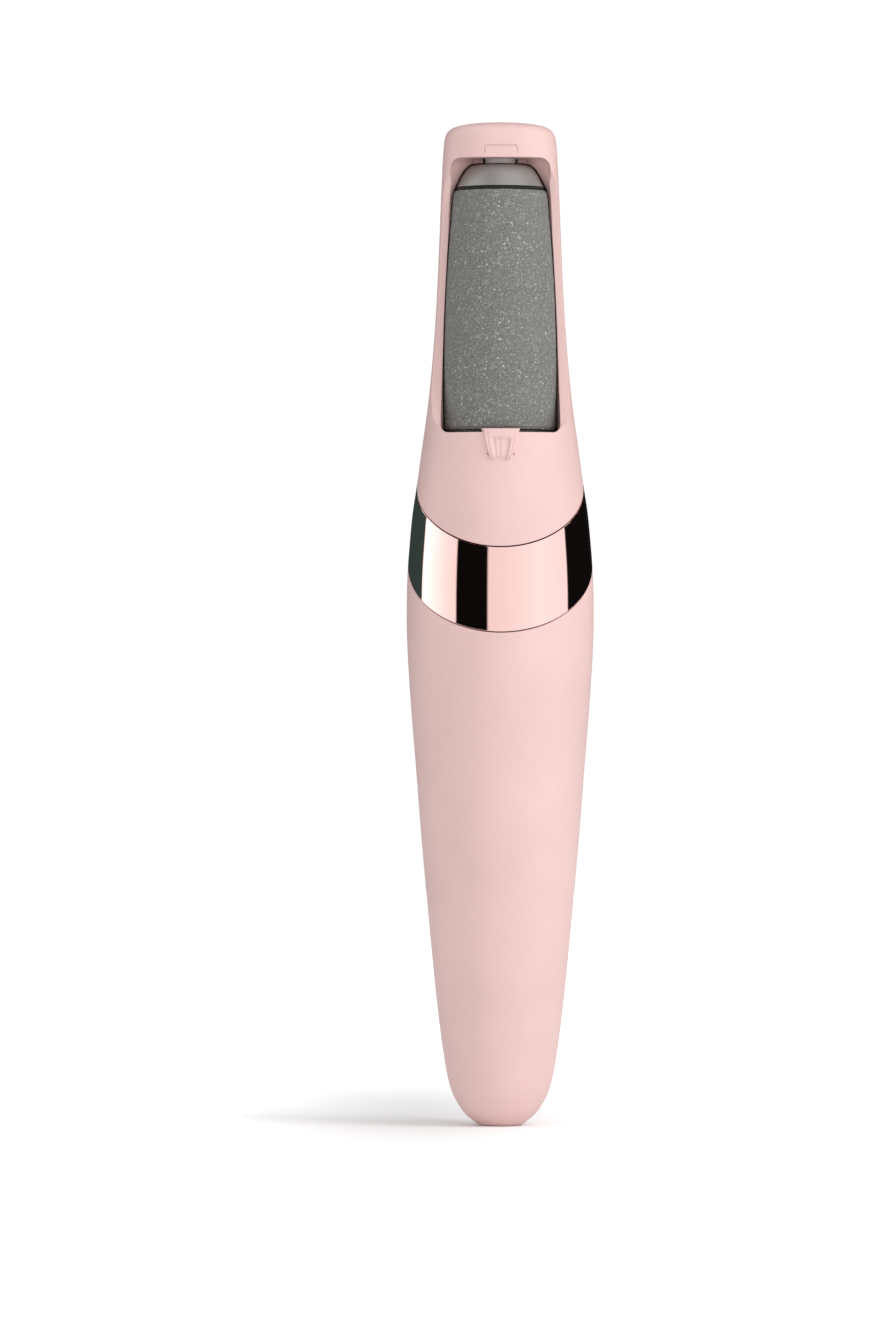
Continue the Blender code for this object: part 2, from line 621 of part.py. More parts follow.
join(tactile_switch, rod("switch_plunger", 1.4, (0, 9.0, BUTTON_Z), (0, 9.9, BUTTON_Z), count=20))
box("status_led", (-0.8, 0.8), (7.5, 8.3), (LIGHT_Z - 0.8, LIGHT_Z + 0.8), ((0.9, 0.9, 0.85), 0.3))
rod("light_window", 1.0, (0, 9.0, LIGHT_Z), (0, 15.0, LIGHT_Z), ((0.85, 0.85, 0.85), 0.2, 0.0, 0.5), count=16)
for i, (x, c) in enumerate(((-3.2, (0.6, 0.02, 0.02)), (3.2, (0.02, 0.02, 0.02)))):
    path = [(1.4 * x, 7.9, 68.0 + 6.0 * k / 3) for k in range(4)]
    path += [(1.4 * x, 6.5 + 1.4 * math.cos(t), 74.0 + 1.55 * math.sin(t)) for t in (0.4, 0.8, 1.2, 1.57)]
    path += [(1.4 * x, 5.2, 75.55)]
    wire(f"motor_wire_{'red' if i == 0 else 'black'}", path, 0.35, (c, 0.5))
charge_jack = turned(
    "charge_jack",
    [(0, 13.0), (4.3, 13.0), (4.3, 3.8), (2.45, 3.8), (2.45, 0.4), (1.75, 0.4), (1.75, 10.0), (0, 10.0)],
    BLACK, at=(0, 0, 0), steps=32,
)
turned("jack_pin", disc_profile(0.5, 1.6, 9.7), STEEL, at=(0, 0, 0), steps=16)

# ---------------------------------------------------------------- power button
power_button = rod("power_button", 4.5, (0, 12.0, BUTTON_Z), (0, 16.35, BUTTON_Z), PINK, at=(0, 12.0, BUTTON_Z), count=32)
join(
    power_button,
    rod("button_flange", 5.5, (0, 11.3, BUTTON_Z), (0, 12.2, BUTTON_Z), count=32),
    rod("button_stem", 1.5, (0, 10.5, BUTTON_Z), (0, 11.6, BUTTON_Z), count=20),
)
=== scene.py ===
"""Looks for the electric callus remover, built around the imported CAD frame. Lengths in the constants are millimetres."""

import math

import bmesh
import bpy
import numpy as np
from mathutils import Matrix, Vector


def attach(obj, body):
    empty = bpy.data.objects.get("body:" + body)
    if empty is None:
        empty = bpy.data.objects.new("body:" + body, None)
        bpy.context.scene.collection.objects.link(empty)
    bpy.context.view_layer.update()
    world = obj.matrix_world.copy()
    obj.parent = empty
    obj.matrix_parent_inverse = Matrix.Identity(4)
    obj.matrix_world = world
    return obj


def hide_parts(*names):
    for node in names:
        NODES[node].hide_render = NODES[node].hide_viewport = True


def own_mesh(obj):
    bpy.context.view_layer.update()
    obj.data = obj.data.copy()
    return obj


MM = 0.001
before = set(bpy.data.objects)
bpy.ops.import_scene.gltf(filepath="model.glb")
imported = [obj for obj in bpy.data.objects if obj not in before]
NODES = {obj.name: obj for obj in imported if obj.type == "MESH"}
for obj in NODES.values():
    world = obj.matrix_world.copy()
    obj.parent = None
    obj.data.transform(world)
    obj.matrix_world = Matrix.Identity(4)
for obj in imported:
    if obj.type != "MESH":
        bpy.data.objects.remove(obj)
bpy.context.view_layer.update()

# ------------------------------------------------------------------ camera
FIELD, DISTANCE = 253.2, 1500.0
cam_data = bpy.data.cameras.new("camera")
cam_data.sensor_width = 36.0
cam_data.lens = 36.0 * DISTANCE / FIELD
cam_data.clip_start, cam_data.clip_end = 0.01, 10.0
cam = bpy.data.objects.new("camera", cam_data)
cam.location = (-0.0106, -1.500, 0.0857)
cam.rotation_euler = (math.radians(90), 0, 0)
bpy.context.scene.collection.objects.link(cam)
bpy.context.scene.camera = cam
bpy.context.scene.view_settings.view_transform = "Standard"

# ------------------------------------------------------------------ body shape
BODY = np.array([
    (0.0, 3.60, 3.55, 3.55, 2.0), (0.1, 3.95, 3.89, 3.89, 2.0), (0.25, 4.25, 4.19, 4.19, 2.0), (0.5, 4.62, 4.56, 4.56, 2.0),
    (0.85, 5.06, 4.99, 4.99, 2.0), (1.23, 5.55, 5.47, 5.47, 2.0), (1.98, 6.42, 6.33, 6.33, 2.0), (2.74, 7.10, 7.00, 7.00, 2.0),
    (3.5, 7.63, 7.52, 7.52, 2.0), (4.8, 8.38, 8.26, 8.26, 2.0), (6.1, 9.03, 8.90, 8.90, 2.0),
    (8.4, 9.75, 9.61, 9.61, 2.0), (12.4, 10.55, 10.40, 10.40, 2.0),
    (17.3, 11.25, 11.09, 11.09, 2.0), (24.0, 12.05, 11.88, 11.88, 2.0), (33.0, 12.95, 12.77, 12.77, 2.0),
    (44.4, 14.00, 13.80, 13.80, 2.0), (55.8, 15.00, 14.79, 14.79, 2.0), (67.0, 15.85, 15.63, 15.63, 2.0),
    (76.0, 16.60, 16.37, 16.37, 2.0), (83.0, 17.10, 16.86, 16.86, 2.0), (89.7, 17.50, 17.25, 17.25, 2.0),
    (95.0, 17.65, 17.40, 17.40, 2.0), (100.0, 17.62, 17.38, 17.30, 2.0), (105.6, 17.40, 17.12, 16.95, 2.0),
    (110.0, 17.05, 16.80, 16.45, 2.0), (115.0, 16.60, 16.30, 15.75, 2.0), (121.4, 15.60, 15.60, 14.60, 2.05),
    (126.0, 15.00, 15.00, 13.75, 2.1), (131.0, 14.28, 14.35, 12.95, 2.15), (136.0, 13.60, 13.70, 12.25, 2.3),
    (141.8, 13.00, 13.10, 11.60, 2.5), (148.6, 12.43, 12.40, 11.00, 2.5), (157.6, 11.88, 11.55, 10.40, 2.5),
    (167.0, 11.47, 10.65, 10.05, 2.5), (178.0, 11.03, 9.70, 9.70, 2.5), (183.0, 10.77, 9.32, 9.32, 2.45),
    (185.6, 10.54, 9.12, 9.12, 2.4), (186.4, 10.36, 8.98, 8.98, 2.4), (187.0, 10.12, 8.78, 8.78, 2.4),
    (187.55, 9.70, 8.45, 8.45, 2.4), (188.0, 9.05, 7.92, 7.92, 2.4), (188.33, 8.20, 7.25, 7.25, 2.35),
    (188.62, 6.90, 6.15, 6.15, 2.3), (188.85, 5.40, 4.85, 4.85, 2.2), (189.02, 3.20, 2.90, 2.90, 2.1),
    (189.1, 0.00, 0.00, 0.00, 2.0),
])
CROWN = 185.5
BAND_SLOPE, BAND_LOW, BAND_HIGH = 0.742, 105.84, 121.43
GROOVE = 0.10
AXIS_Y, POCKET_Z, LIP_Z, ARCH_Z = -2.0, 128.8, 130.4, 182.1


def pchip(x, y, q):
    """Monotone cubic through the stations."""
    h, d = np.diff(x), np.diff(y) / np.diff(x)
    m = np.zeros_like(y)
    for k in range(1, len(x) - 1):
        if d[k - 1] * d[k] > 0:
            w1, w2 = 2 * h[k] + h[k - 1], h[k] + 2 * h[k - 1]
            m[k] = (w1 + w2) / (w1 / d[k - 1] + w2 / d[k])
    m[0], m[-1] = d[0], d[-1]
    q = np.clip(q, x[0], x[-1])
    i = np.clip(np.searchsorted(x, q) - 1, 0, len(x) - 2)
    t = (q - x[i]) / h[i]
    return (
        y[i] * (1 + 2 * t) * (1 - t) ** 2 + m[i] * h[i] * t * (1 - t) ** 2
        + y[i + 1] * t * t * (3 - 2 * t) + m[i + 1] * h[i] * t * t * (t - 1)
    )


_fine = np.linspace(0, CROWN, 1856)
_smooth = []
for _k in (1, 2, 3, 4):
    _v = pchip(BODY[:, 0], BODY[:, _k], _fine)
    _w = np.hanning(81)
    _w /= _w.sum()
    _pad = np.concatenate([2 * _v[0] - _v[40:0:-1], _v, 2 * _v[-1] - _v[-2:-42:-1]])
    _s = np.convolve(_pad, _w, "valid")
    _mix = np.clip((_fine - 9.0) / 8.0, 0, 1) * np.clip((182.0 - _fine) / 6.0, 0, 1)
    _smooth.append(_v * (1 - _mix) + _s * _mix)


def section(z):
    """Half width, front depth, back depth and exponent at each height."""
    z = np.asarray(z, float)
    out = []
    for k in range(4):
        low = np.interp(z, _fine, _smooth[k])
        high = pchip(BODY[:, 0], BODY[:, k + 1], z)
        out.append(np.where(z < CROWN, low, high))
    return out


def skin(t, z, inset=0.0):
    """Points of the outer body, moved inwards by inset."""
    w, f, b, n = section(z)
    w, f, b = (np.maximum(v - inset, 0.0) for v in (w, f, b))
    c, s = np.cos(t), np.sin(t)
    x = w * np.sign(c) * np.abs(c) ** (2 / n)
    y = np.where(s > 0, b, f) * np.sign(s) * np.abs(s) ** (2 / n)
    return np.stack([x, y, np.broadcast_to(z, x.shape)], -1)


def edge_z(t, base, shift=0.0):
    """Height where the body meets the oblique plane, per column."""
    z = np.full_like(t, base)
    for _ in range(30):
        z = 0.5 * z + 0.5 * (base + shift + BAND_SLOPE * skin(t, z)[:, 1])
    return z


def angles(n):
    return 2 * math.pi * np.arange(n) / n


# ------------------------------------------------------------------ mesh helpers
COLLECTION = bpy.context.scene.collection


def mesh_object(name, verts, faces, smooth_angle=35.0):
    mesh = bpy.data.meshes.new(name)
    mesh.from_pydata([tuple(float(c) * MM for c in v) for v in verts], [], faces)
    bm = bmesh.new()
    bm.from_mesh(mesh)
    bmesh.ops.remove_doubles(bm, verts=bm.verts, dist=1e-7)
    bmesh.ops.recalc_face_normals(bm, faces=bm.faces)
    bm.to_mesh(mesh)
    bm.free()
    mesh.polygons.foreach_set("use_smooth", [True] * len(mesh.polygons))
    mesh.set_sharp_from_angle(angle=math.radians(smooth_angle))
    ob = bpy.data.objects.new(name, mesh)
    COLLECTION.objects.link(ob)
    return ob


def grid_object(name, rows, closed_rows=False, cap_low=False, cap_high=False, smooth_angle=35.0):
    """Skin over rows of equal length; each row is a closed ring."""
    n = len(rows[0])
    verts = [p for row in rows for p in row]
    faces = []
    count = len(rows)
    for a in range(count if closed_rows else count - 1):
        b = (a + 1) % count
        for i in range(n):
            j = (i + 1) % n
            faces.append((a * n + i, a * n + j, b * n + j, b * n + i))
    for wanted, row in ((cap_low, 0), (cap_high, count - 1)):
        if wanted:
            centre = len(verts)
            verts.append(np.mean(np.array(rows[row]), 0))
            for i in range(n):
                faces.append((row * n + i, row * n + (i + 1) % n, centre))
    return mesh_object(name, verts, faces, smooth_angle)


def turned(name, profile, axis=(0, AXIS_Y), steps=96, ring=False, smooth_angle=35.0):
    """A turned piece; a profile that starts and ends off the axis is a closed ring."""
    t = angles(steps)
    rows = [
        np.stack([axis[0] + r * np.cos(t), axis[1] + r * np.sin(t), np.full(steps, z)], -1)
        for r, z in profile
    ]
    return grid_object(name, rows, closed_rows=ring, smooth_angle=smooth_angle)


def rounded(points, radii, n=5):
    """A profile with its corners rounded."""
    out = [points[0]]
    for k in range(1, len(points) - 1):
        p, q, s = (np.array(points[j], float) for j in (k - 1, k, k + 1))
        r = radii[k] if isinstance(radii, (list, tuple)) else radii
        a, b = p - q, s - q
        la, lb = np.linalg.norm(a), np.linalg.norm(b)
        r = min(r, la * 0.45, lb * 0.45)
        if r < 1e-6:
            out.append(tuple(q))
            continue
        a, b = q + a / la * r, q + b / lb * r
        for i in range(n + 1):
            u = i / n
            out.append(tuple(a * (1 - u) ** 2 + 2 * q * u * (1 - u) + b * u * u))
    out.append(points[-1])
    return out


def prism(name, outline, plane, lo, hi):
    put = {"XZ": lambda u, v, w: (u, w, v), "YZ": lambda u, v, w: (w, u, v), "XY": lambda u, v, w: (u, v, w)}[plane]
    n = len(outline)
    verts = [put(u, v, lo) for u, v in outline] + [put(u, v, hi) for u, v in outline]
    faces = [tuple(range(n)), tuple(range(2 * n - 1, n - 1, -1))]
    faces += [(i, (i + 1) % n, n + (i + 1) % n, n + i) for i in range(n)]
    return mesh_object(name, verts, faces)


def box(name, x, y, z):
    return prism(name, [(x[0], y[0]), (x[1], y[0]), (x[1], y[1]), (x[0], y[1])], "XY", z[0], z[1])


def carve(ob, cutters, smooth_angle=35.0, how="DIFFERENCE"):
    """Cuts the pieces away for good and removes the cutters."""
    for c in cutters:
        m = ob.modifiers.new(c.name, "BOOLEAN")
        m.object, m.solver, m.operation = c, "EXACT", how
    bpy.context.view_layer.update()
    depsgraph = bpy.context.evaluated_depsgraph_get()
    mesh = bpy.data.meshes.new_from_object(ob.evaluated_get(depsgraph))
    ob.modifiers.clear()
    ob.data = mesh
    mesh.polygons.foreach_set("use_smooth", [True] * len(mesh.polygons))
    mesh.set_sharp_from_angle(angle=math.radians(smooth_angle))
    for c in cutters:
        bpy.data.objects.remove(c, do_unlink=True)
    return ob


def corner(cx, cz, r, a0, a1, n=10):
    return [
        (cx + r * math.cos(math.radians(a0 + (a1 - a0) * k / n)), cz + r * math.sin(math.radians(a0 + (a1 - a0) * k / n)))
        for k in range(n + 1)
    ]


def spline(points, n=8):
    """Catmull-Rom through the points."""
    p = np.array(points, float)
    ext = np.vstack([2 * p[0] - p[1], p, 2 * p[-1] - p[-2]])
    out = []
    for k in range(1, len(ext) - 2):
        a, b, c, d = ext[k - 1 : k + 3]
        for i in range(n):
            t = i / n
            out.append(tuple(0.5 * (2 * b + (c - a) * t + (2 * a - 5 * b + 4 * c - d) * t**2 + (3 * b - a - 3 * c + d) * t**3)))
    out.append(tuple(p[-1]))
    return out


# ------------------------------------------------------------------ handle, band and head
N = 192
T = angles(N)
low_edge = edge_z(T, BAND_LOW, -GROOVE)
band_low = edge_z(T, BAND_LOW, GROOVE)
band_high = edge_z(T, BAND_HIGH, -GROOVE)
head_edge = edge_z(T, BAND_HIGH, GROOVE)


def ring_of(r, z):
    return np.stack([r * np.cos(T), r * np.sin(T) * 0.986, np.full(N, z)], -1)


foot = [ring_of(2.75, 3.0), ring_of(2.75, 0.25), ring_of(2.83, 0.08), ring_of(3.0, 0.0), ring_of(3.5, 0.0)]
rows = list(foot)
for z in np.concatenate([[0.02, 0.06, 0.13, 0.22, 0.35, 0.5, 0.7], np.arange(1.0, 12.0, 0.5), np.arange(12.0, 80.0, 2.0)]):
    rows.append(skin(T, np.full(N, z)))
for u in np.linspace(0, 1, 22)[:-1]:
    rows.append(skin(T, 80.0 + (low_edge - 0.3 - 80.0) * u))
for drop, inset in ((0.3, 0.0), (0.08, 0.02), (0.02, 0.07), (0.0, 0.16), (0.0, 1.5)):
    rows.append(skin(T, low_edge - drop, inset))
for z in (80.0, 60.0, 40.0, 20.0, 10.0):
    rows.append(skin(T, np.full(N, z), 1.8))
rows.append(ring_of(5.0, 4.0))
handle = grid_object("handle_moulding", rows, closed_rows=True)


def pipe_y(name, r, z, y0, y1, n=64):
    return prism(name, [(r * math.cos(a), z + r * math.sin(a)) for a in angles(n)], "XZ", y0, y1)


carve(handle, [pipe_y("c1", 4.8, 70.0, 8, 22), pipe_y("c2", 1.3, 60.0, 8, 22)])

rows = []
inner = 1.55
for lift, inset in ((0.0, inner), (0.0, 0.07), (0.02, 0.02), (0.07, 0.0)):
    rows.append(skin(T, band_low + lift, inset))
for u in np.linspace(0, 1, 34)[1:-1]:
    rows.append(skin(T, (band_low + 0.07) * (1 - u) + (band_high - 0.07) * u))
for lift, inset in ((0.07, 0.0), (0.02, 0.02), (0.0, 0.07), (0.0, inner)):
    rows.append(skin(T, band_high - lift, inset))
band = grid_object("band_plating", rows, closed_rows=True, smooth_angle=18)

rows = []
for lift, inset in ((0.0, 1.6), (0.0, 0.16), (0.02, 0.07), (0.08, 0.02), (0.3, 0.0)):
    rows.append(skin(T, head_edge + lift, inset))
top_z = 140.0
for u in np.linspace(0, 1, 16)[1:]:
    rows.append(skin(T, (head_edge + 0.3) * (1 - u) + top_z * u))
for z in np.concatenate([np.arange(141.5, 184.0, 1.5), [184.5, 185.2, 185.8, 186.2, 186.5, 186.75, 186.95, 187.1, 187.25, 187.4, 187.55, 187.7, 187.8, 187.9, 188.0, 188.1, 188.2, 188.3, 188.4, 188.5, 188.6, 188.7, 188.8, 188.88, 188.96, 189.02, 189.07]]):
    rows.append(skin(T, np.full(N, z)))
head = grid_object("head_moulding", rows, cap_low=True, cap_high=True)
lower_bore = [
    (5.4, POCKET_Z), (5.4, 122.6), (2.1, 122.6), (2.1, 121.3), (4.4, 121.3), (4.4, 119.4),
    (7.5, 119.4), (7.5, 116.7), (11.8, 116.7), (11.8, 80.0), (0, 80.0),
]
cavity = spline([
    (3.25, 181.4), (4.2, 181.38), (5.1, 181.25), (5.9, 180.9), (6.75, 180.15), (7.4, 179.2), (7.95, 178.1), (8.5, 176.9), (8.95, 175.6),
    (9.3, 172.0), (9.95, 164.5), (10.5, 155.0), (10.8, 146.0), (10.8, 137.0), (10.8, POCKET_Z),
], 4)
hollow = [(0, 185.3), (3.25, 185.3)] + cavity + lower_bore
side = spline([
    (-13.2, LIP_Z), (-11.4, 130.65), (-9.4, 131.3), (-7.4, 132.6), (-5.7, 135.0), (-4.4, 138.2), (-3.6, 142.0),
    (-3.25, 147.0), (-3.2, 158.0), (-3.2, 168.0), (-3.5, 173.0), (-4.4, 177.1), (-5.7, 179.65), (-7.2, 181.3), (-9.0, ARCH_Z),
], 5)
side = [(-30.0, LIP_Z)] + side + [(-30.0, ARCH_Z)]
wide = spline([(11.2, 133.8), (10.97, 141.0), (10.78, 148.5), (10.45, 156.3), (10.07, 163.8), (9.85, 169.6), (9.75, 175.2), (9.42, 179.2)], 4)
right = corner(9.75, LIP_Z + 1.45, 1.45, -90, 0) + wide + corner(7.45, ARCH_Z - 1.9, 1.9, 0, 90)
window = right + [(-x, z) for x, z in reversed(right)]


tight = np.array([
    (10.70, POCKET_Z), (10.71, 138.4), (10.69, 145.8), (10.41, 155.2), (9.87, 164.6), (9.31, 171.6), (9.11, 174.4), (8.8, 176.0),
    (8.2, 177.0), (7.56, 178.35), (7.06, 179.25), (6.42, 180.15), (5.85, 180.6), (5.3, 180.9), (5.1, 182.1),
])


def flared(x, z, share):
    """Behind its rim the window narrows until it nearly meets the roller."""
    limit = min(abs(x), float(np.interp(z, tight[:, 1], tight[:, 0])))
    return math.copysign(abs(x) + (limit - abs(x)) * share, x)


def wall_y(z, share):
    """A short bevel beside the sleeve, a deep sloping wall beside the dome."""
    rim, lip = (float(np.interp(z, [171.0, 177.0], v)) for v in ([-3.5, -5.1], [-2.6, -2.2]))
    return rim + share * (lip - rim)


window_rows = [[(x, -25.0, z) for x, z in window]]
for share in (0.0, 0.15, 0.35, 0.6, 0.82, 1.0):
    window_rows.append([(flared(x, z, share), wall_y(z, share), z) for x, z in window])
window_rows.append([(flared(x, z, 1.0), -1.85, z) for x, z in window])


def tube(name, points, r, sides=10):
    """A round tube along a path, capped."""
    p = np.array(points, float)
    d = np.gradient(p, axis=0)
    d /= np.linalg.norm(d, axis=1)[:, None]
    ref = np.array([0.0, 1.0, 0.0])
    rows = []
    for q, t in zip(p, d):
        u = np.cross(t, ref)
        u /= np.linalg.norm(u)
        v = np.cross(u, t)
        rows.append(np.array([q + r * (math.cos(a) * u + math.sin(a) * v) for a in angles(sides)]))
    return grid_object(name, rows, cap_low=True, cap_high=True)


def front_y(x, z):
    w, f, _, n = section(np.array([float(z)]))
    return -float(f[0] * (1 - (abs(x) / w[0]) ** n[0]) ** (1 / n[0]))


mark_top, mark_low, mark_half = 184.27, 182.95, 3.05
mark = [(-mark_half, z) for z in np.linspace(mark_low, mark_top - 0.3, 4)]
mark += [(-mark_half + 0.3 - 0.3 * math.cos(a), mark_top - 0.3 + 0.3 * math.sin(a)) for a in (0.5, 1.1, 1.57)]
mark += [(x, mark_top) for x in np.linspace(-2.2, 2.2, 9)]
mark += [(mark_half - 0.3 + 0.3 * math.sin(a), mark_top - 0.3 + 0.3 * math.cos(a)) for a in (0.0, 0.5, 1.1, 1.57)]
mark += [(mark_half, z) for z in np.linspace(mark_top - 0.5, mark_low, 4)]
mark_path = [(x, front_y(x, z) - 0.02, z) for x, z in mark]
carve(head, [
    grid_object("c4", window_rows, cap_low=True, cap_high=True),
    turned("c2", hollow, steps=144),
    prism("c3", side, "YZ", -30, 30),
    box("c5", (-2.5, 2.5), (-20, -3.0), (126.1, 132.0)),
    box("c6", (-1.65, 1.65), (-20, -12.0), (125.0, 126.6)),
    box("c7", (-1.8, 1.8), (-13.95, -11.6), (117.6, 129.0)),
    turned("c8", [(0, 129.0), (1.7, 129.0), (1.7, 127.3), (0.95, 127.3), (0.95, 116.0), (0, 116.0)], axis=(-9.7, AXIS_Y), steps=24),
    turned("c9", [(0, 129.0), (1.7, 129.0), (1.7, 127.3), (0.95, 127.3), (0.95, 116.0), (0, 116.0)], axis=(9.7, AXIS_Y), steps=24),
    tube("c10", mark_path, 0.19),
])

# ------------------------------------------------------------------ latch
U, V = 60, 48
LATCH_TOP, LATCH_LOW = 131.05, 124.7


LATCH_V = np.array([0.0, 0.05, 0.13, 0.45, 0.83, 0.91, 0.95, 1.0])
LATCH_HALF = np.array([1.50, 1.80, 2.05, 2.92, 3.40, 3.42, 3.58, 3.64])


def latch_half(v):
    """Half width up the latch: narrow and round at the foot, wide at the top."""
    return float(pchip(LATCH_V, LATCH_HALF, np.array([v]))[0])


def step(a, b, x):
    x = min(1.0, max(0.0, (x - a) / (b - a)))
    return x * x * (3 - 2 * x)


outer, inner_rows = [], []
for j in range(V + 1):
    v = j / V
    z = LATCH_LOW + (LATCH_TOP - LATCH_LOW) * v
    half = latch_half(v)
    orow, irow = [], []
    for i in range(U + 1):
        u = 2 * i / U - 1
        x = half * u
        base = front_y(x, z) + 0.1
        au = abs(u)
        edge = step(1.0, 0.86, au) * step(0.0, 0.22, v)
        rail = 0.78 * edge
        scoop = step(0.62, 0.44, au) * step(0.80, 0.62, v) * step(0.0, 0.10, v)
        flute = (0.13 * math.exp(-(((u - 0.10) / 0.10) ** 2)) + 0.09 * math.exp(-(((u + 0.24) / 0.07) ** 2))) * scoop
        rail_groove = 0.12 * math.exp(-(((au - 0.74) / 0.035) ** 2)) * step(0.92, 0.8, v)
        h = rail - 0.50 * scoop + flute - rail_groove * edge
        roll = 0.25 * step(0.93, 1.0, v) * edge
        orow.append((x, base - max(0.02, h - roll), z))
        irow.append((x, base + 0.05, z))
    outer.append(orow)
    inner_rows.append(irow)
latch = grid_object("latch_moulding", [outer[j] + inner_rows[j][::-1] for j in range(V + 1)], cap_low=True, cap_high=True, smooth_angle=50)
for extra in (box("latch_neck", (-1.5, 1.5), (-14.4, -12.6), (128.7, 129.7)), box("latch_block", (-1.5, 1.5), (-13.2, -11.9), (124.6, 129.7))):
    carve(latch, [extra], smooth_angle=50, how="UNION")

# ------------------------------------------------------------------ roller
SLEEVE = [
    (7.7, 176.05), (8.55, 176.05), (8.85, 175.55), (9.00, 174.4), (9.20, 171.6), (9.76, 164.6), (10.30, 155.2), (10.58, 145.8),
    (10.60, 138.4), (10.50, 132.2), (10.42, 131.5), (10.20, 131.05), (7.7, 131.05),
]
R = 264
L = 300
shape = spline(SLEEVE[1:-1], 20)
s = np.array(shape)
arc = np.concatenate([[0], np.cumsum(np.hypot(*np.diff(s, axis=0).T))])
along = np.linspace(0, arc[-1], L)
rr, zz = np.interp(along, arc, s[:, 0]), np.interp(along, arc, s[:, 1])
rng = np.random.default_rng(11)
noise = np.zeros((L, R))
for size, amount in ((1, 0.5), (2, 0.35), (4, 0.15)):
    a = rng.standard_normal((L, R))
    for _ in range(size):
        a = (a + np.roll(a, 1, 0) + np.roll(a, -1, 0) + np.roll(a, 1, 1) + np.roll(a, -1, 1)) / 5
    noise += amount * a / a.std()
fade = np.clip(np.minimum(np.arange(L), np.arange(L)[::-1]) / 6.0, 0, 1)[:, None]
disp = 0.028 * noise * fade
t = angles(R)
rows = []
for k in range(L):
    r = rr[k] + disp[k]
    rows.append(np.stack([r * np.cos(t), AXIS_Y + r * np.sin(t), np.full(R, zz[k])], -1))
for r, z in ((7.7, 131.05), (7.7, 176.05)):
    rows.append(np.stack([r * np.cos(t), AXIS_Y + r * np.sin(t), np.full(R, z)], -1))
sleeve = grid_object("grit_sleeve", rows, closed_rows=True, smooth_angle=60)

dome = turned("dome_shell", rounded([(0, 183.3), (1.2, 183.3), (1.2, 180.95), (4.6, 180.95)], 0.1)[:-1]
              + spline([(4.6, 180.95), (5.15, 180.88), (5.75, 180.6), (6.3, 180.12), (6.95, 179.25), (7.45, 178.35), (7.85, 177.5), (8.15, 176.9)], 6)
              + [(8.17, 176.8), (0, 176.8)], steps=144)
bush = turned("bush_moulding", rounded([(0, 184.5), (2.3, 184.5), (2.85, 183.8), (2.85, 181.2), (1.5, 181.2), (1.5, 183.6), (0, 183.6)], 0.25), steps=72)
flange = turned("flange_moulding", rounded([(0, 130.9), (10.35, 130.9), (10.35, 130.55), (10.05, 130.3), (4.0, 129.95), (0, 129.95)], 0.15), steps=128)
dog = prism("dog", [(-1.1, -3.8), (-0.9, -4.0), (0.9, -4.0), (1.1, -3.8), (1.1, -0.2), (0.9, 0.0), (-0.9, 0.0), (-1.1, -0.2)], "XY", 126.6, 130.4)
carve(flange, [dog], how="UNION")

# ------------------------------------------------------------------ power button
def turned_y(name, profile, z, steps=96):
    """A piece turned round a line along Y at height z; the profile is (radius, y)."""
    t = angles(steps)
    return grid_object(name, [np.stack([r * np.cos(t), np.full(steps, y), z + r * np.sin(t)], -1) for r, y in profile])


button = turned_y("button_cap", rounded(
    [(0, 16.0), (2.0, 16.03), (3.3, 16.22), (3.75, 16.35), (4.5, 16.3), (4.5, 12.2), (5.5, 12.2), (5.5, 11.3), (1.5, 11.3), (1.5, 10.5), (0, 10.5)],
    [0, 0.4, 0.4, 0.3, 0.35, 0, 0.1, 0.1, 0, 0.1, 0]), 70.0)
lens = turned_y("light_pipe", rounded([(0, 15.12), (0.75, 15.08), (1.0, 14.9), (1.0, 9.0), (0, 9.0)], 0.15), 60.0, 32)

# ------------------------------------------------------------------ materials
def srgb(r, g, b):
    return tuple(((c / 255) / 12.92) if c / 255 <= 0.04045 else ((c / 255 + 0.055) / 1.055) ** 2.4 for c in (r, g, b))


